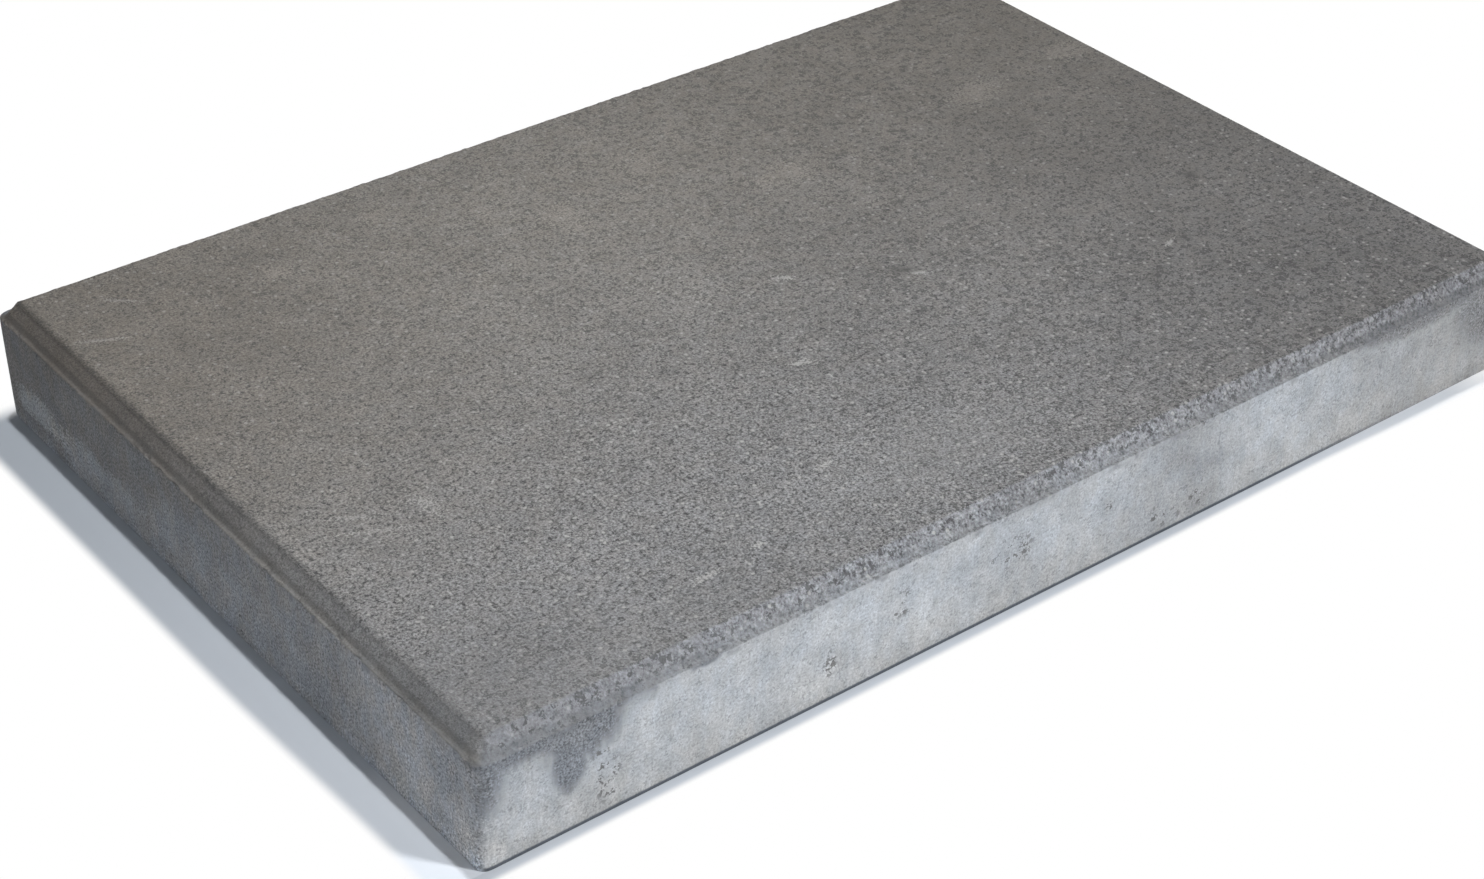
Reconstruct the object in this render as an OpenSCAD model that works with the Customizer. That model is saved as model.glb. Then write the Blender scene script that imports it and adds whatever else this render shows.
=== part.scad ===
/* [Slab] */
// Length over the walls, along X
slab_length = 600; // [200:5:1000]
// Width over the walls, along Y
slab_width = 400; // [150:5:800]
// Thickness from the bed face to the walking face, along Z
slab_thickness = 60; // [30:1:150]

/* [Edge] */
// Level step that the mould leaves round the top of the walls, at the foot of the chamfer
land_width = 2; // [0.5:0.25:6]
// How far the chamfer runs in from the land, seen from above
chamfer_run = 6; // [2:0.5:16]
// How far the chamfer falls from the walking face to the land
chamfer_drop = 7.5; // [2:0.5:16]
// Radius of the walking face's four corners, seen from above
face_corner_radius = 1.5; // [0.5:0.25:20]

/* [Hidden] */
$fn = 96;

// The edge keeps one section all the way round, so each corner is turned about one upright axis
foot_corner_radius = face_corner_radius + chamfer_run;
wall_corner_radius = foot_corner_radius + land_width;
wall_height = slab_thickness - chamfer_drop;
corner_x = slab_length / 2 - wall_corner_radius;
corner_y = slab_width / 2 - wall_corner_radius;

concrete_grey = [0.47, 0.47, 0.46];

// Places its children on the four corner axes
module at_corners() {
    for (x = [-corner_x, corner_x], y = [-corner_y, corner_y])
        translate([x, y, 0]) children();
}

// Straight stretch of the chamfered crown along X, as a trapezoid pushed out to the given length
module crown_run(length, half_width) {
    foot = half_width + foot_corner_radius;
    face = half_width + face_corner_radius;
    section = [[-foot, 0], [foot, 0], [face, chamfer_drop], [-face, chamfer_drop]];
    rotate([90, 0, 90]) linear_extrude(height = length, center = true) polygon(section);
}

// Upright walls from the bed face to the land, with round corners
module wall_block() {
    linear_extrude(height = wall_height) union() {
        square([2 * corner_x, slab_width], center = true);
        square([slab_length, 2 * corner_y], center = true);
        at_corners() circle(r = wall_corner_radius);
    }
}

// Chamfered crown that stands on the land and carries the walking face
module crown() {
    crown_run(2 * corner_x, corner_y);
    rotate([0, 0, 90]) crown_run(2 * corner_y, corner_x);
    at_corners() cylinder(h = chamfer_drop, r1 = foot_corner_radius, r2 = face_corner_radius);
}

// One casting of dense concrete: a plain slab with a chamfered top edge
module paving_slab() {
    color(concrete_grey) union() {
        wall_block();
        translate([0, 0, wall_height]) crown();
    }
}

paving_slab();
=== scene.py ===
import math

import bmesh
import bpy
import numpy as np
from mathutils import Matrix, Vector


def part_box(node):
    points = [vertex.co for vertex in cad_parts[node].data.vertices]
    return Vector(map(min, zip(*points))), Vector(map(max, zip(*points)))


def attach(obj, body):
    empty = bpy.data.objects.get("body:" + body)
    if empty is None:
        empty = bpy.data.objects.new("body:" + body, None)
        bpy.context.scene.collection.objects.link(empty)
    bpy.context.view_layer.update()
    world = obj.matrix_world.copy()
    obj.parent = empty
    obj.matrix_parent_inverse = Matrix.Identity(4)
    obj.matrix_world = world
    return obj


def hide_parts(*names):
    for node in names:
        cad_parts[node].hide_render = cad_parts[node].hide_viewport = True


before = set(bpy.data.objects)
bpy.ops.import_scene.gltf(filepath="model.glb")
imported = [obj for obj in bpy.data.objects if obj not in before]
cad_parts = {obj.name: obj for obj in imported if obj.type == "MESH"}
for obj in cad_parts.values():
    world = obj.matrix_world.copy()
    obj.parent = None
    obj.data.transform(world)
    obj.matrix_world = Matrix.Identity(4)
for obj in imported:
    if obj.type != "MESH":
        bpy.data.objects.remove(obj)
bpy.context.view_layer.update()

# The paving slab is one casting of dense concrete, pressed face up in a steel mould and stripped at once.
# Stripping drags a pale cement skin down the walls; the plate that presses the face leaves a level land,
# a sandy chamfer and an open, fine-grained walking face.
MM = 0.001
slab_low, slab_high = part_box("paving_slab")
land_width = 2 * MM
chamfer_run = 6 * MM
chamfer_drop = 7.5 * MM
face_corner_radius = 1.5 * MM
wall_corner_radius = face_corner_radius + chamfer_run + land_width
wall_height = slab_high.z - chamfer_drop
corner_x = slab_high.x - wall_corner_radius
corner_y = slab_high.y - wall_corner_radius
edge_wear = 1 * MM
foot_wear = 0.1 * edge_wear
wear_samples = 21

# Distances down the section, counted from the edge of the walking face
land_start = math.hypot(chamfer_run, chamfer_drop)
wall_top = land_start + land_width
wall_foot = wall_top + wall_height
section_down = [-face_corner_radius, 0, land_start, wall_top, wall_foot, wall_foot + wall_corner_radius]
section_radius = [0, face_corner_radius, face_corner_radius + chamfer_run, wall_corner_radius,
                  wall_corner_radius, 0]
section_height = [slab_high.z, slab_high.z, wall_height, wall_height, 0, 0]

# Power of the corner curve in plan at those distances: 2 is a round arc. The corners are squarer towards the
# foot, apart from the far left one, which is worn round there
square_power = [2.0, 2.0, 2.8, 3.0, 5.0, 5.0]
worn_power = [2.0, 2.0, 2.8, 3.0, 2.0, 2.0]
corner_power = [square_power, square_power, worn_power, square_power]

# Mesh pitch: a level grid on the face and the bed, and finer cells round the edge and the walls
face_cells = (120, 80)
bed_cells = (24, 16)
edge_cells = (4 * face_cells[0], 4 * face_cells[1], 12)
section_rows = np.concatenate([
    np.linspace(-edge_wear, edge_wear, 5)[:-1],
    np.linspace(edge_wear, land_start - edge_wear, 8)[:-1],
    np.linspace(land_start - edge_wear, wall_top + edge_wear, 9)[:-1],
    np.linspace(wall_top + edge_wear, wall_foot - edge_wear, 24)[:-1],
    np.linspace(wall_foot - edge_wear, wall_foot + edge_wear, 5)])

vertices = []
depths = []
faces = []


def add_points(points, depth):
    """Adds vertices that lie at one distance down the edge section, and returns their numbers."""
    first = len(vertices)
    vertices.extend(points)
    depths.extend([depth] * len(points))
    return list(range(first, len(vertices)))


def plan_ring(radius, z, depth):
    """One line round the slab at a radius from the corner axes: four sides and four corners in turn."""
    runs = []
    for quarter in range(4):
        along = Vector((round(math.cos(quarter * math.pi / 2)), round(math.sin(quarter * math.pi / 2)), 0))
        out = Vector((along.y, -along.x, 0))
        reach, offset = (corner_x, corner_y) if quarter % 2 == 0 else (corner_y, corner_x)
        side_cells = edge_cells[quarter % 2]
        level = Vector((0, 0, z))
        side = [level + out * (offset + radius) + along * (2 * step / side_cells - 1) * reach
                for step in range(side_cells)]
        turn = [math.pi / 2 * step / edge_cells[2] for step in range(edge_cells[2])]
        axis = level + along * reach + out * offset
        power = np.interp(depth, section_down, corner_power[quarter])
        swell = [(math.cos(a) ** power + math.sin(a) ** power) ** (-1 / power) for a in turn]
        corner = [axis + (out * math.cos(a) + along * math.sin(a)) * float(radius * k)
                  for a, k in zip(turn, swell)]
        runs += [add_points(side, depth), add_points(corner, depth)]
    return [run + [runs[(i + 1) % 8][0]] for i, run in enumerate(runs)]


def plan_grid(cells, z, depth):
    """A level grid between the four corner axes. Returns its border as runs that match a ring's."""
    xs = np.linspace(-corner_x, corner_x, cells[0] + 1)
    ys = np.linspace(-corner_y, corner_y, cells[1] + 1)
    ids = np.array(add_points([Vector((x, y, z)) for y in ys for x in xs], depth)).reshape(len(ys), len(xs))
    squares = np.stack([ids[:-1, :-1], ids[:-1, 1:], ids[1:, 1:], ids[1:, :-1]], -1)
    faces.extend(squares.reshape(-1, 4).tolist())
    sides = [ids[0], ids[:, -1], ids[-1, ::-1], ids[::-1, 0]]
    return [run for side in sides for run in (side.tolist(), [int(side[-1])])]


def bridge(runs_a, runs_b):
    """Closes the strip between two borders whose runs may differ in number of points."""
    for a, b in zip(runs_a, runs_b):
        i = j = 0
        steps_a, steps_b = len(a) - 1, len(b) - 1
        while i < steps_a or j < steps_b:
            if steps_a == steps_b:
                faces.append([a[i], a[i + 1], b[j + 1], b[j]])
                i, j = i + 1, j + 1
            elif j == steps_b or (i < steps_a and (i + 1) * steps_b <= (j + 1) * steps_a):
                faces.append([a[i], a[i + 1], b[j]])
                i += 1
            else:
                faces.append([a[i], b[j + 1], b[j]])
                j += 1


# Each row of the section is the mean of its neighbourhood, which wears the arrises round, least at the foot
border = plan_grid(face_cells, slab_high.z, section_down[0])
for depth in section_rows:
    wear = np.interp(depth, [wall_top, wall_foot - 2 * edge_wear], [edge_wear, foot_wear])
    nearby = depth + np.linspace(-wear, wear, wear_samples)
    radius = np.interp(nearby, section_down, section_radius).mean()
    z = np.interp(nearby, section_down, section_height).mean()
    ring = plan_ring(float(radius), float(z), float(depth))
    bridge(border, ring)
    border = ring
bridge(border, plan_grid(bed_cells, 0.0, section_down[-1]))

mesh = bpy.data.meshes.new("paving_slab_cast")
mesh.from_pydata(vertices, [], faces)
mesh.attributes.new("down", "FLOAT", "POINT").data.foreach_set("value", np.array(depths, np.float32))
shaped = bmesh.new()
shaped.from_mesh(mesh)
bmesh.ops.recalc_face_normals(shaped, faces=shaped.faces)
shaped.to_mesh(mesh)
shaped.free()
mesh.shade_smooth()
slab = bpy.data.objects.new("paving_slab_cast", mesh)
bpy.context.scene.collection.objects.link(slab)


def put(tree, kind, inputs=None, **settings):
    """Adds a node, sets its options, and links or fills the inputs that are given by name or number."""
    made = tree.nodes.new(kind)
    for name, value in settings.items():
        setattr(made, name, value)
    for name, value in (inputs or {}).items():
        if isinstance(value, bpy.types.NodeSocket):
            tree.links.new(value, made.inputs[name])
        else:
            made.inputs[name].default_value = value
    return made


def calc(tree, operation, *values):
    """One step of arithmetic."""
    return put(tree, "ShaderNodeMath", dict(enumerate(values)), operation=operation).outputs[0]


def fade(tree, value, start, end, low=0.0, high=1.0):
    """A soft step from low at start to high at end."""
    inputs = {"Value": value, "From Min": start, "From Max": end, "To Min": low, "To Max": high}
    return put(tree, "ShaderNodeMapRange", inputs, interpolation_type="SMOOTHSTEP").outputs[0]


def noise(tree, place, size, detail=2.0, rough=0.5, stretch=None):
    """Cloudy noise whose blotches are about one size across, longer where stretch is under 1."""
    if stretch:
        place = put(tree, "ShaderNodeVectorMath", {0: place, 1: stretch}, operation="MULTIPLY").outputs[0]
    inputs = {"Vector": place, "Scale": 1 / size, "Detail": detail, "Roughness": rough}
    return put(tree, "ShaderNodeTexNoise", inputs).outputs[0]


def edge_zones(tree, down):
    """Masks of the walking face, of the chamfer with its land, and of the wall, by the distance down."""
    face = fade(tree, down, 0.8 * MM, -0.4 * MM)
    wall = fade(tree, down, wall_top - 0.4 * MM, wall_top + 0.8 * MM)
    chamfer = calc(tree, "SUBTRACT", 1.0, calc(tree, "ADD", face, wall))
    return face, chamfer, wall


def short_sides(tree, spot):
    """1 towards the two short sides and 0 towards the long ones, changing across each corner."""
    past = calc(tree, "SUBTRACT", calc(tree, "ABSOLUTE", spot["X"]), calc(tree, "ABSOLUTE", spot["Y"]))
    turn = slab_high.x - slab_high.y
    return fade(tree, past, turn - 3 * MM, turn + 3 * MM)


grain_seed = 7.0
grain_pitch = 3.2 * MM


def loose_grains(tree, place):
    """Grains and voids: distance from the middle of the nearest one, and a fixed random value for it."""
    inputs = {"Vector": place, "Scale": 1 / grain_pitch, "Randomness": 1.0}
    made = put(tree, "ShaderNodeTexVoronoi", inputs).outputs
    return made["Distance"], put(tree, "ShaderNodeSeparateXYZ", {0: made["Color"]}).outputs[0]


# Marks on the walls, as middle and half size in millimetres from the near corner of the bed
bare_areas = [((49, 0, 56), (24, 50, 25)), ((42, 0, 34), (9, 50, 15)), ((-7, -4, 48), (20, 17, 29)),
              ((592, 0, 42), (36, 50, 26)), ((530, 0, 55), (55, 50, 10)), ((36, 0, 55), (52, 50, 11)),
              ((108, 0, 54), (10, 50, 4)), ((0, 22, 36), (40, 14, 16)), ((0, 116, 22), (30, 42, 24)),
              ((0, 195, 18), (30, 62, 26)), ((0, 300, 8), (30, 50, 14)), ((170, 400, 54), (50, 50, 6)),
              ((436, 400, 58), (40, 50, 22)), ((600, 95, 24), (30, 44, 24)), ((600, 290, 12), (30, 58, 18))]
pitted_areas = [((60, 0, 20), (9, 40, 24)), ((273, 0, 31), (17, 40, 12)), ((210, 0, 33), (9, 40, 9)),
                ((367, 0, 11), (13, 40, 9)), ((388, 0, 13), (10, 40, 10)), ((172, 0, 20), (5, 40, 9)),
                ((330, 0, 30), (7, 40, 7)), ((388, 0, 53), (4, 40, 5)), ((0, 185, 8), (40, 14, 9)),
                ((250, 400, 24), (12, 40, 10)), ((505, 400, 15), (9, 40, 9)), ((600, 190, 10), (40, 12, 8))]
pale_areas = [((0, 52, 7), (40, 18, 11)), ((-2, 4, 10), (14, 12, 18)), ((0, 365, 17), (40, 26, 9))]

# Relief: the face swells a little, the chamfer crumbles, and the walls carry drag ridges, pits and nicks
relief = bpy.data.node_groups.new("slab_relief", "GeometryNodeTree")
relief_inputs = {}
relief.interface.new_socket("Geometry", in_out="INPUT", socket_type="NodeSocketGeometry")
for name, value in {"Face Swell": 0.4 * MM, "Chamfer Crumble": 1.8 * MM, "Wall Swell": 0.6 * MM,
                    "Wall Drag": 0.18 * MM, "Wall Pits": 1.2 * MM, "Edge Nicks": 1.8 * MM,
                    "Seed": grain_seed}.items():
    made = relief.interface.new_socket(name, in_out="INPUT", socket_type="NodeSocketFloat")
    relief_inputs[made.identifier] = value
surface = relief.interface.new_socket("Surface", in_out="INPUT", socket_type="NodeSocketMaterial")
relief.interface.new_socket("Geometry", in_out="OUTPUT", socket_type="NodeSocketGeometry")

given = put(relief, "NodeGroupInput").outputs
position = put(relief, "GeometryNodeInputPosition").outputs[0]
place = put(relief, "ShaderNodeVectorMath", {0: position, 1: given["Seed"]}, operation="ADD").outputs[0]
down = put(relief, "GeometryNodeInputNamedAttribute", {"Name": "down"}, data_type="FLOAT").outputs[0]
on_face, on_chamfer, on_wall = edge_zones(relief, down)
on_end = short_sides(relief, put(relief, "ShaderNodeSeparateXYZ", {0: position}).outputs)
crumbly = calc(relief, "MULTIPLY", on_chamfer, calc(relief, "MULTIPLY_ADD", on_end, -0.75, 1.0))
crumbly = calc(relief, "MULTIPLY", crumbly, fade(relief, down, land_start - 1 * MM, land_start - 5 * MM))


def nearness(areas):
    """1 in the middle of the nearest area, 0 on its rim and less beyond."""
    nearest = None
    for middle, half_size in areas:
        middle = Vector(middle) * MM + Vector((slab_low.x, slab_low.y, 0))
        away = put(relief, "ShaderNodeVectorMath", {0: position, 1: middle}, operation="SUBTRACT").outputs[0]
        size = Vector(half_size) * MM
        away = put(relief, "ShaderNodeVectorMath", {0: away, 1: size}, operation="DIVIDE").outputs[0]
        reach = put(relief, "ShaderNodeVectorMath", {0: away}, operation="LENGTH").outputs["Value"]
        inside = calc(relief, "MAXIMUM", calc(relief, "SUBTRACT", 1.0, reach), -1.0)
        nearest = calc(relief, "MAXIMUM", nearest, inside) if nearest else inside
    return nearest


def raised(value, mask, depth):
    """A height in metres from noise about a half: as far in as out, where mask is 1, of the named depth."""
    in_and_out = calc(relief, "SUBTRACT", value, 0.5)
    return calc(relief, "MULTIPLY", calc(relief, "MULTIPLY", in_and_out, mask), given[depth])


pitted = nearness(pitted_areas)
void_distance, void_random = loose_grains(relief, place)
hollow = fade(relief, void_distance, 0.45, 0.1, 0.0, -1.0)
hollow = calc(relief, "MULTIPLY", hollow, fade(relief, pitted, 0.0, 0.3))
hollow = calc(relief, "MULTIPLY", hollow, fade(relief, void_random, 0.6, 0.5))
nick_line = calc(relief, "ABSOLUTE", calc(relief, "SUBTRACT", down, wall_top))
nick = calc(relief, "MULTIPLY", fade(relief, nick_line, 3.5 * MM, 0.0),
            fade(relief, noise(relief, place, size=6 * MM, detail=3.0, rough=0.7), 0.55, 0.75, 0.0, -1.0))
heights = [
    raised(noise(relief, place, size=90 * MM), on_face, "Face Swell"),
    raised(noise(relief, place, size=4.5 * MM, detail=3.0, rough=0.7), crumbly, "Chamfer Crumble"),
    raised(noise(relief, place, size=70 * MM), on_wall, "Wall Swell"),
    raised(noise(relief, place, size=6 * MM, rough=0.6, stretch=(1, 1, 0.12)), on_wall, "Wall Drag"),
    calc(relief, "MULTIPLY", hollow, given["Wall Pits"]),
    calc(relief, "MULTIPLY", nick, given["Edge Nicks"]),
]
height = heights[0]
for more in heights[1:]:
    height = calc(relief, "ADD", height, more)
off_bed = fade(relief, down, wall_foot - 1 * MM, wall_foot - 6 * MM)
outward = put(relief, "GeometryNodeInputNormal").outputs[0]
shift = put(relief, "ShaderNodeVectorMath", {0: outward, "Scale": calc(relief, "MULTIPLY", height, off_bed)},
            operation="SCALE").outputs[0]
marked = given["Geometry"]
for name, value in {"bare": nearness(bare_areas), "pitted": pitted, "pale": nearness(pale_areas)}.items():
    inputs = {"Geometry": marked, "Name": name, "Value": value}
    stored = put(relief, "GeometryNodeStoreNamedAttribute", inputs, data_type="FLOAT", domain="POINT")
    marked = stored.outputs[0]
moved = put(relief, "GeometryNodeSetPosition", {"Geometry": marked, "Offset": shift}).outputs[0]
realized = put(relief, "GeometryNodeRealizeInstances", {"Geometry": moved}).outputs[0]
dressed = put(relief, "GeometryNodeSetMaterial", {"Geometry": realized, "Material": given["Surface"]})
put(relief, "NodeGroupOutput", {"Geometry": dressed.outputs[0]})

# Finish: sandy grey face, darker open chamfer, pale cement skin on the walls with bare blue-grey patches
concrete = bpy.data.materials.new("cast_concrete")
concrete.use_nodes = True
paint = concrete.node_tree
coords = put(paint, "ShaderNodeTexCoord").outputs["Object"]
place = put(paint, "ShaderNodeVectorMath", {0: coords, 1: (grain_seed,) * 3}, operation="ADD").outputs[0]
spot = put(paint, "ShaderNodeSeparateXYZ", {0: coords}).outputs
down = put(paint, "ShaderNodeAttribute", attribute_name="down").outputs["Fac"]
on_end = short_sides(paint, spot)
on_face, on_chamfer, on_wall = edge_zones(paint, down)
on_lip = calc(paint, "MULTIPLY", on_chamfer, fade(paint, down, land_start - 3.8 * MM, land_start - 1.8 * MM))


def times(first, *more):
    """The product of several values."""
    for value in more:
        first = calc(paint, "MULTIPLY", first, value)
    return first


def plus(start, value, amount):
    """A start value with an amount of another value added to it."""
    return calc(paint, "MULTIPLY_ADD", value, amount, start)


def centred(value):
    """Noise about a half, moved to lie about zero."""
    return calc(paint, "SUBTRACT", value, 0.5)


def swing(value, amount):
    """A brightness about 1 that follows noise about a half."""
    return plus(1.0, centred(value), amount)


def away_from(value, line):
    """How far a value lies from a line, on either side."""
    return calc(paint, "ABSOLUTE", calc(paint, "SUBTRACT", value, line))


def blend(face, chamfer, lip, wall):
    """One value for each zone of the slab, mixed by the masks."""
    total = calc(paint, "MULTIPLY", on_face, face)
    total = plus(total, on_chamfer, chamfer)
    total = plus(total, on_lip, lip - chamfer)
    return plus(total, on_wall, wall)


def mix(share, below, above, blend_type="MIX"):
    """Lays one colour over another by a share."""
    inputs = {0: share, 6: below, 7: above}
    return put(paint, "ShaderNodeMix", inputs, data_type="RGBA", blend_type=blend_type).outputs[2]


# Patterns in the concrete, from single grains up to clouds that cross the face
grain = noise(paint, place, size=1.15 * MM, detail=1.0, rough=0.8)
rubble = noise(paint, place, size=2.5 * MM, rough=0.75)
mottle = noise(paint, place, size=15 * MM, detail=3.0, rough=0.65)
cloud = noise(paint, place, size=110 * MM, rough=0.6)
streaks = noise(paint, place, size=5.5 * MM, rough=0.65, stretch=(1, 1, 0.13))
stain = noise(paint, place, size=11 * MM, detail=3.0, rough=0.7, stretch=(1, 1, 0.6))
ragged = times(centred(mottle), 0.9)
ragged = plus(ragged, centred(streaks), 0.6)
ragged = plus(ragged, centred(grain), 0.7)


def mark(name, start, end):
    """One of the marks that the relief stored, with a ragged edge."""
    stored = put(paint, "ShaderNodeAttribute", attribute_name=name).outputs["Fac"]
    return fade(paint, calc(paint, "ADD", stored, ragged), start, end)


# Voids follow the loose grains; they are wider on the crests of the long sides, and a few are wide anywhere
grain_distance, grain_random = loose_grains(paint, place)
on_crest = fade(paint, away_from(down, 1 * MM), 5.5 * MM, 1.5 * MM)
on_crest = times(on_crest, plus(1.0, on_end, -0.9))
few_wide = fade(paint, grain_random, 0.16, 0.06)
void_shape = plus(grain_distance, centred(grain), 1.8)
void_shape = plus(void_shape, on_crest, -0.16)
void_shape = plus(void_shape, few_wide, -0.2)

# Parts of the slab that differ in tone
to_back = fade(paint, spot["Y"], -180 * MM, 160 * MM)
to_right = fade(paint, spot["X"], -120 * MM, 240 * MM)
to_left = fade(paint, spot["X"], -60 * MM, -300 * MM)
right_end = fade(paint, spot["X"], 140 * MM, 250 * MM)
near_end = fade(paint, spot["Y"], -60 * MM, -160 * MM)
near_corner = times(to_left, fade(paint, spot["Y"], -100 * MM, -190 * MM))
bare = mark("bare", start=-0.18, end=0.3)

# Walking face: grey near by, buff at the back and brown at the far left
near_face = (0.226, 0.226, 0.229, 1)
far_face = (0.253, 0.238, 0.218, 1)
far_left_face = (0.18, 0.163, 0.143, 1)
face_base = mix(to_back, near_face, far_face)
face_base = mix(times(to_back, to_left, 0.75), face_base, far_left_face)

# Chamfer of the long sides, and of the short ones
right_chamfer = (0.264, 0.27, 0.286, 1)
left_chamfer = (0.243, 0.249, 0.264, 1)
near_end_chamfer = (0.33, 0.327, 0.326, 1)
far_end_chamfer = (0.212, 0.19, 0.168, 1)
chamfer_base = mix(to_left, right_chamfer, left_chamfer)
chamfer_base = mix(on_end, chamfer_base, mix(to_back, near_end_chamfer, far_end_chamfer))

# Lip: the lower part of the chamfer, with the land
lip_grey = (0.245, 0.255, 0.27, 1)
bare_lip = (0.19, 0.198, 0.212, 1)
near_end_lip = (0.255, 0.251, 0.244, 1)
far_end_lip = (0.152, 0.139, 0.126, 1)
dull_land = (0.13, 0.132, 0.136, 1)
lip_base = mix(times(bare, 0.8), lip_grey, bare_lip)
lip_base = mix(on_end, lip_base, mix(to_back, near_end_lip, far_end_lip))
on_land = fade(paint, down, land_start - 0.3 * MM, land_start + 0.5 * MM)
lip_base = mix(times(on_end, near_end, on_land, 0.45), lip_base, dull_land)

# Cement skin of the long walls: duller right of the middle and at the left end, and sandier at the right end
skin_above = (0.464, 0.479, 0.494, 1)
skin_below = (0.452, 0.454, 0.452, 1)
dull_skin = (0.29, 0.295, 0.3, 1)
smudged_skin = (0.2, 0.205, 0.21, 1)
sandy_skin = (0.405, 0.398, 0.386, 1)
dull_middle = 72 * MM
low_down = fade(paint, spot["Z"], 34 * MM, 3 * MM)
skin_base = mix(low_down, skin_above, skin_below)
dull_reach = away_from(spot["X"], dull_middle)
skin_base = mix(fade(paint, dull_reach, 60 * MM, 8 * MM, 0.0, 0.5), skin_base, dull_skin)
smudge = times(fade(paint, dull_reach, 16 * MM, 3 * MM), fade(paint, spot["Z"], 26 * MM, 40 * MM), 0.3)
skin_base = mix(smudge, skin_base, smudged_skin)
skin_base = mix(fade(paint, spot["X"], -245 * MM, -295 * MM, 0.0, 0.3), skin_base, dull_skin)
skin_base = mix(times(right_end, 0.7), skin_base, sandy_skin)

# Short walls: darker towards the back, with painted shade above and painted light at the foot.
# All walls have bare patches, and the left one has pale patches too
near_end_skin = (0.488, 0.483, 0.482, 1)
far_end_skin = (0.265, 0.256, 0.248, 1)
left_bare = (0.207, 0.218, 0.234, 1)
right_bare = (0.262, 0.262, 0.262, 1)
end_bare = (0.375, 0.373, 0.376, 1)
pale_cement = (0.53, 0.522, 0.51, 1)
end_top_shade = (0.05, 0.046, 0.04, 1)
foot_light_colour = (0.75, 0.77, 0.8, 1)
skin_base = mix(on_end, skin_base, mix(to_back, near_end_skin, far_end_skin))
bare_base = mix(to_right, left_bare, right_bare)
bare_base = mix(on_end, bare_base, end_bare)
wall_base = mix(bare, skin_base, bare_base)
wall_base = mix(times(mark("pale", start=-0.1, end=0.5), 0.65), wall_base, pale_cement)
# Painted shade: the upper part of the short walls is darkened, most away from the near corner
painted_top_shade = times(on_end, fade(paint, spot["Z"], 10 * MM, 44 * MM),
                fade(paint, spot["Y"], -170 * MM, -50 * MM), 0.24)
wall_base = mix(painted_top_shade, wall_base, end_top_shade)
# Painted light: the foot of the short walls is lightened, most near the near corner and in the lowest
# millimetres
painted_foot_light = times(fade(paint, spot["Z"], 9 * MM, 1 * MM), plus(0.3, near_end, 0.4))
painted_foot_light = calc(paint, "ADD", painted_foot_light, fade(paint, spot["Z"], 2.5 * MM, 0.3 * MM, 0.0, 0.35))
wall_base = mix(times(painted_foot_light, on_end), wall_base, foot_light_colour)

# The zones together, darker to the right, with painted shade raggedly along the left crest, and a faint
# stain
dark_sand = (0.092, 0.08, 0.067, 1)
near_crest_shade = (0.15, 0.15, 0.152, 1)
far_crest_shade = (0.085, 0.078, 0.07, 1)
cool_stain = (0.9, 0.97, 1.08, 1)
warm_stain = (1.1, 1.0, 0.9, 1)
base = mix(on_chamfer, face_base, chamfer_base)
base = mix(on_lip, base, lip_base)
darkening = blend(face=0.35, chamfer=0.2, lip=0.27, wall=0.0)
base = mix(times(to_right, plus(1.0, to_back, -0.45), darkening), base, dark_sand)
# Painted shade: a ragged dark band along the left crest, darker towards the back
rim_reach = plus(spot["X"], rubble, 4 * MM)
painted_crest_shade = times(fade(paint, rim_reach, slab_low.x + 14 * MM, slab_low.x + 10.5 * MM),
            fade(paint, down, 2.5 * MM, 0.0), plus(0.8, near_end, -0.3))
base = mix(painted_crest_shade, base, mix(to_back, near_crest_shade, far_crest_shade))
base = mix(on_wall, base, wall_base)
tint = mix(fade(paint, stain, 0.36, 0.64), cool_stain, warm_stain)
stained = plus(blend(face=0.1, chamfer=0.1, lip=0.15, wall=0.16), times(on_wall, on_end), 0.22)
base = mix(stained, base, tint, "MULTIPLY")

# Grain and blotches: the grain is strongest in front, and softer at the back, by the near corner and to the
# right
sharpness = plus(1.2, to_back, -0.54)
sharpness = plus(sharpness, near_corner, -0.65)
sharpness = plus(sharpness, to_right, -0.18)
right_face = times(on_face, to_right, plus(1.0, to_back, -0.4))
end_chamfer = times(on_chamfer, on_end)
rough_wall = calc(paint, "MAXIMUM", bare, times(on_end, 0.9))
wall_grain = times(on_wall, plus(1.0, rough_wall, 1.5))
face_grain = times(sharpness, blend(face=2.2, chamfer=1.4, lip=1.0, wall=0.0), plus(1.0, right_face, -0.45))
crumbs = times(sharpness, plus(blend(face=1.0, chamfer=2.0, lip=1.5, wall=0.5), end_chamfer, -1.8))
tone = swing(grain, calc(paint, "ADD", face_grain, wall_grain))
tone = times(tone, swing(rubble, crumbs))
tone = times(tone, swing(mottle, blend(face=0.5, chamfer=0.4, lip=0.5, wall=0.8)))
tone = times(tone, swing(cloud, blend(face=0.4, chamfer=0.4, lip=0.4, wall=0.35)))
long_wall = times(on_wall, calc(paint, "SUBTRACT", 1.0, on_end))
tone = times(tone, swing(streaks, times(long_wall, 0.3)))
colour = mix(1.0, base, tone, "MULTIPLY")

# Painted shade in open pores and pits, pale grains, edge nicks, and painted contact shade
# at the foot of the long walls
pore_shade_colour = (0.07, 0.07, 0.071, 1)
grain_pale = (0.56, 0.55, 0.53, 1)
pit_shade_colour = (0.14, 0.137, 0.132, 1)
nick_grey = (0.16, 0.165, 0.175, 1)
foot_shade_colour = (0.06, 0.075, 0.095, 1)
smooth_end = plus(1.0, end_chamfer, -0.7)
pore_shade_strength = plus(blend(face=0.4, chamfer=0.62, lip=0.5, wall=0.2), right_face, 0.2)
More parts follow.
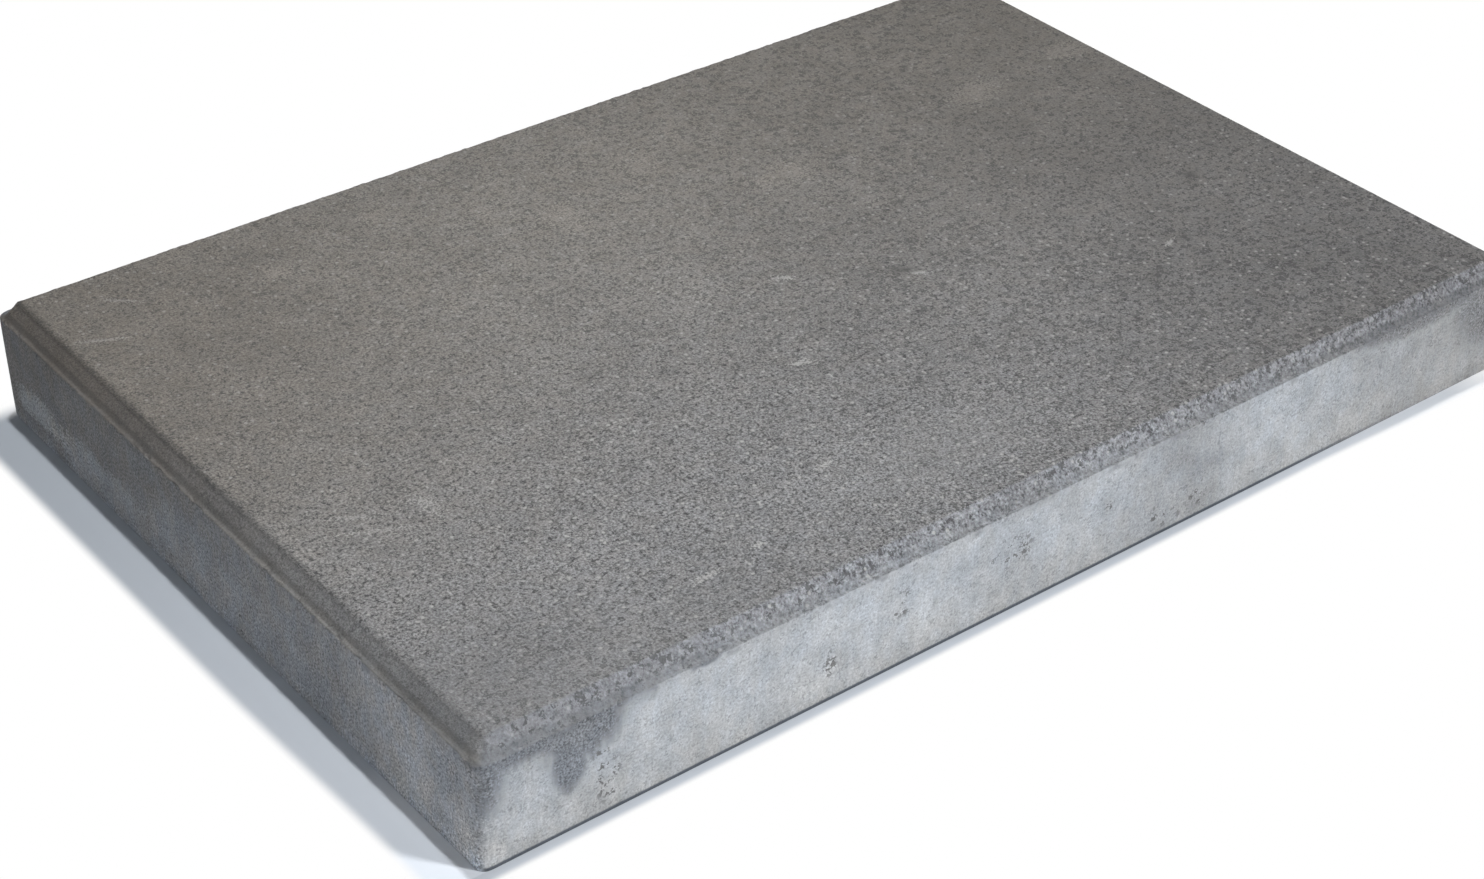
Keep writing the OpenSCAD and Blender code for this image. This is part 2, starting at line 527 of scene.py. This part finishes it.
# Painted shade in the open pores, most on the chamfer, and in the open pits of the face
painted_pore_shade = times(fade(paint, plus(void_shape, right_face, -0.12), 0.34, 0.14),
              fade(paint, grain_random, 0.5, 0.4), smooth_end, pore_shade_strength)
painted_open_pit_shade = times(fade(paint, rubble, 0.43, 0.33), sharpness, smooth_end,
                  blend(face=1.0, chamfer=0.6, lip=0.3, wall=0.0))
colour = mix(calc(paint, "MAXIMUM", painted_pore_shade, painted_open_pit_shade), colour, pore_shade_colour)
picked_grains = fade(paint, plus(grain_random, on_crest, 0.12), 0.85, 0.89)
pale_grains = times(fade(paint, grain_distance, 0.36, 0.16), smooth_end, sharpness,
                    blend(face=0.42, chamfer=0.45, lip=0.3, wall=0.0), picked_grains)
colour = mix(pale_grains, colour, grain_pale)
# Painted shade in the pits of the pitted wall areas, which are also hollow in the mesh
painted_pit_shade = times(fade(paint, void_shape, 0.5, 0.25), mark("pitted", start=0.0, end=0.4),
             fade(paint, grain_random, 0.7, 0.5))
colour = mix(times(painted_pit_shade, on_wall, 0.85), colour, pit_shade_colour)
under_edge = fade(paint, away_from(down, wall_top + 1 * MM), 4 * MM, 0.5 * MM)
edge_nicks = times(under_edge, fade(paint, calc(paint, "ADD", mottle, ragged), 0.55, 0.85))
colour = mix(times(edge_nicks, 0.6), colour, nick_grey)
# Painted contact shade: a thin dark line at the foot of the long walls, none at the short ones or the right
# end
painted_foot_shade = times(fade(paint, spot["Z"], 2.3 * MM, 1.2 * MM), plus(0.88, on_end, -0.88),
             calc(paint, "SUBTRACT", 1.0, right_end))
colour = mix(painted_foot_shade, colour, foot_shade_colour)

# Scuffs of the walking face: a paler area, worn spots, rubs, chips and dark gouges
scuff_grain = times(calc(paint, "SUBTRACT", 0.5, grain), 2.5)


def scuffs(places):
    """Marks on the face: middle, half length and half width in millimetres, and angle in degrees."""
    nearest = None
    for x, y, half_length, half_width, angle in places:
        middle = Vector((x * MM + slab_low.x, y * MM + slab_low.y, slab_high.z))
        across = put(paint, "ShaderNodeMapping", {"Vector": coords, "Location": middle,
                                                  "Rotation": (0, 0, math.radians(angle)),
                                                  "Scale": (half_length * MM, half_width * MM, 1)},
                     vector_type="TEXTURE").outputs[0]
        reach = put(paint, "ShaderNodeVectorMath", {0: across}, operation="LENGTH").outputs["Value"]
        nearest = calc(paint, "MINIMUM", nearest, reach) if nearest else reach
    return fade(paint, calc(paint, "ADD", nearest, scuff_grain), 1.2, 0.2)


rubs = scuffs([(42, 155, 14, 1.8, -31), (46, 141, 16, 1.8, -26), (72, 144, 4, 11, 5),
               (24, 339, 13, 1.6, -25), (47, 364, 10, 1.6, -40)])
chips = scuffs([(134, 35, 9, 2, 5), (165, 39, 4, 2, 0), (305, 197, 7, 2.5, -35), (265, 135, 7, 2.5, -20),
                (222, 67, 5, 2, 10), (475, 111, 6, 1.6, 20), (360, 162, 6, 1.8, -35)])
worn = scuffs([(368, 275, 22, 11, 10), (255, 303, 14, 14, 0), (315, 322, 12, 12, 0), (505, 284, 20, 12, 10),
               (578, 291, 14, 10, 0), (182, 361, 9, 7, 0), (117, 343, 9, 7, 0)])
gouges = scuffs([(356, 168, 7, 3, -35), (532, 153, 4, 3.5, 0)])
paler = scuffs([(268, 44, 78, 34, 2)])
scuff_looks = [
    (paler, 0.11, (0.5, 0.5, 0.5, 1)),
    (worn, 0.16, (0.55, 0.5, 0.44, 1)),
    (rubs, 0.22, (0.6, 0.59, 0.57, 1)),
    (chips, 0.4, (0.62, 0.61, 0.59, 1)),
    (gouges, 0.55, (0.08, 0.08, 0.08, 1)),
]
for scuffed, strength, scuff_colour in scuff_looks:
    colour = mix(times(scuffed, on_face, strength), colour, scuff_colour)

# Grain that is too fine for the mesh is a bump
bump_height = times(grain, blend(face=1.0, chamfer=1.4, lip=0.5, wall=0.3))
bump = put(paint, "ShaderNodeBump", {"Strength": 0.7, "Distance": 0.5 * MM, "Height": bump_height})
roughness = blend(face=0.93, chamfer=0.95, lip=0.88, wall=0.8)

shader = paint.nodes["Principled BSDF"]
shader.inputs["Specular IOR Level"].default_value = 0.3
paint.links.new(colour, shader.inputs["Base Color"])
paint.links.new(roughness, shader.inputs["Roughness"])
paint.links.new(bump.outputs[0], shader.inputs["Normal"])

modifier = slab.modifiers.new("relief", "NODES")
modifier.node_group = relief
for identifier, value in relief_inputs.items():
    modifier[identifier] = value
modifier[surface.identifier] = concrete
graph = bpy.context.evaluated_depsgraph_get()
cast = bpy.data.meshes.new_from_object(slab.evaluated_get(graph), preserve_all_data_layers=True,
                                       depsgraph=graph)
slab.modifiers.remove(modifier)
slab.data = cast
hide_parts("paving_slab")
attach(slab, "root")

# The camera stands at the photograph's viewing angle, above the near corner.
# Its place, aim and focal length follow the slab's own edges in perspective.
eye = Vector((-0.7184, -0.8734, 0.7443))
aim = Vector((-0.0934, -0.0966, 0.0597))
roll = math.radians(1.084)
lens = bpy.data.cameras.new("camera")
lens.sensor_width = 36.0
lens.lens = 68.011
camera = bpy.data.objects.new("camera", lens)
turned = (aim - eye).to_track_quat("-Z", "Y").to_matrix() @ Matrix.Rotation(roll, 3, "Z")
camera.matrix_world = Matrix.Translation(eye) @ turned.to_4x4()
bpy.context.scene.collection.objects.link(camera)
bpy.context.scene.camera = camera

# The studio is a plain white floor and backdrop, lit by a softbox in front on the right and one overhead.
# In the shade beside the slab the floor shows as pale paper, and past it as white as the backdrop.
floor_half = 4.0
floor_mesh = bpy.data.meshes.new("floor")
floor_mesh.from_pydata([(-floor_half, -floor_half, 0), (floor_half, -floor_half, 0),
                        (floor_half, floor_half, 0), (-floor_half, floor_half, 0)], [], [(0, 1, 2, 3)])
floor = bpy.data.objects.new("floor", floor_mesh)
bpy.context.scene.collection.objects.link(floor)
white = bpy.data.materials.new("white_floor")
white.use_nodes = True
sweep = white.node_tree
floor_shader = sweep.nodes["Principled BSDF"]
floor_shader.inputs["Roughness"].default_value = 0.9
ground = put(sweep, "ShaderNodeTexCoord").outputs["Object"]
ground_spot = put(sweep, "ShaderNodeSeparateXYZ", {0: ground}).outputs

# Paper, with painted shade: a little darker towards the back, and along the foot of the front wall
near_paper = (0.85, 0.9, 0.97, 1)
shaded_far_paper = (0.64, 0.69, 0.755, 1)
shaded_front_paper = (0.7, 0.75, 0.82, 1)
painted_back_shade = fade(sweep, ground_spot["Y"], slab_low.y, slab_high.y)
gap = calc(sweep, "SUBTRACT", slab_low.y, ground_spot["Y"])
painted_front_shade = calc(sweep, "MULTIPLY", fade(sweep, gap, -1 * MM, 0.0), fade(sweep, gap, 12 * MM, 8 * MM))
painted_front_shade = calc(sweep, "MULTIPLY", painted_front_shade, fade(sweep, ground_spot["X"], 240 * MM, 60 * MM))
paper = put(sweep, "ShaderNodeMix", {0: painted_back_shade, 6: near_paper, 7: shaded_far_paper}, data_type="RGBA").outputs[2]
paper = put(sweep, "ShaderNodeMix", {0: painted_front_shade, 6: paper, 7: shaded_front_paper}, data_type="RGBA").outputs[2]
sweep.links.new(paper, floor_shader.inputs["Base Color"])

# Shade: it reaches this far past the slab, ends softly at the back and right, and narrows at the near end
shade_low = (slab_low.x - 23 * MM, slab_low.y - 9 * MM, 0)
shade_high = (slab_high.x + 10 * MM, slab_high.y + 40 * MM, 0)
soft_end = 0.1
short = put(sweep, "ShaderNodeVectorMath", {0: shade_low, 1: ground}, operation="SUBTRACT").outputs[0]
past = put(sweep, "ShaderNodeVectorMath", {0: ground, 1: shade_high}, operation="SUBTRACT").outputs[0]
past = put(sweep, "ShaderNodeVectorMath", {0: past, "Scale": soft_end}, operation="SCALE").outputs[0]
outside = put(sweep, "ShaderNodeVectorMath", {0: short, 1: past}, operation="MAXIMUM").outputs[0]
beyond = put(sweep, "ShaderNodeSeparateXYZ", {0: outside}).outputs
narrowed = fade(sweep, ground_spot["Y"], slab_low.y + 170 * MM, slab_low.y + 20 * MM, 0.0, 3.2 * MM)
aside = calc(sweep, "ADD", beyond["X"], narrowed)
clear = fade(sweep, calc(sweep, "MAXIMUM", aside, beyond["Y"]), -3 * MM, 3.5 * MM)

# It fades out in front and behind the far left corner, and has a little painted light at the near left foot
front_gap = calc(sweep, "MULTIPLY", gap, fade(sweep, ground_spot["X"], 160 * MM, 240 * MM, 1.0, 0.7))
clear_front = fade(sweep, front_gap, 2.5 * MM, 7 * MM)
past_corner = calc(sweep, "MULTIPLY",
                   fade(sweep, ground_spot["X"], slab_low.x + 60 * MM, slab_low.x + 30 * MM),
                   fade(sweep, ground_spot["Y"], slab_high.y - 10 * MM, slab_high.y + 4 * MM))
painted_foot_light_on_floor = calc(sweep, "MULTIPLY",
                 fade(sweep, ground_spot["X"], slab_low.x - 7 * MM, slab_low.x - 5 * MM),
                 fade(sweep, ground_spot["Y"], slab_low.y + 90 * MM, slab_low.y + 40 * MM, 0.0, 0.055))
for lighter in (clear_front, past_corner, painted_foot_light_on_floor):
    clear = calc(sweep, "MAXIMUM", clear, lighter)


def seen_rays(tree):
    """1 for the rays that show the background: straight to the eye, in a gloss or through a clear thing."""
    ray = put(tree, "ShaderNodeLightPath").outputs
    shown = calc(tree, "MAXIMUM", ray["Is Camera Ray"], ray["Is Glossy Ray"])
    return calc(tree, "MAXIMUM", shown, ray["Is Transmission Ray"])


glow = put(sweep, "ShaderNodeEmission", {"Color": (1, 1, 1, 1), "Strength": 1.0}).outputs[0]
share = calc(sweep, "MULTIPLY", clear, seen_rays(sweep))
shown_floor = put(sweep, "ShaderNodeMixShader", {0: share, 1: floor_shader.outputs[0], 2: glow}).outputs[0]
sweep.links.new(shown_floor, sweep.nodes["Material Output"].inputs["Surface"])
floor_mesh.materials.append(white)

world = bpy.data.worlds.new("studio")
world.use_nodes = True
bpy.context.scene.world = world
sky = world.node_tree
sky_light = sky.nodes["Background"]
sky_light.inputs["Color"].default_value = (0.93, 0.97, 1.0, 1)
sky_light.inputs["Strength"].default_value = 0.13
backdrop = put(sky, "ShaderNodeBackground", {"Color": (1, 1, 1, 1), "Strength": 1.0}).outputs[0]
shown_sky = put(sky, "ShaderNodeMixShader", {0: seen_rays(sky), 1: sky_light.outputs[0], 2: backdrop})
sky.links.new(shown_sky.outputs[0], sky.nodes["World Output"].inputs["Surface"])


def softbox(name, place, target, size, power, beam, tint):
    """A square area lamp at a place, facing a target, with its beam narrowed by a grid."""
    lamp = bpy.data.lights.new(name, "AREA")
    lamp.size = size
    lamp.spread = math.radians(beam)
    lamp.energy = power
    lamp.color = tint
    stand = bpy.data.objects.new(name, lamp)
    aimed = (Vector(target) - Vector(place)).to_track_quat("-Z", "Y").to_matrix()
    stand.matrix_world = Matrix.Translation(place) @ aimed.to_4x4()
    bpy.context.scene.collection.objects.link(stand)


softbox("front_softbox", place=(0.68, -1.47, 1.23), target=(-0.3, -0.1, 0.05),
        size=0.22, power=3.95, beam=70, tint=(1.0, 1.0, 1.0))
softbox("overhead_softbox", place=(0.53, 0.86, 8.0), target=(-0.12, -0.1, 0),
        size=0.32, power=2.72, beam=17.3, tint=(0.98, 0.99, 1.0))

bpy.context.scene.view_settings.view_transform = "Standard"
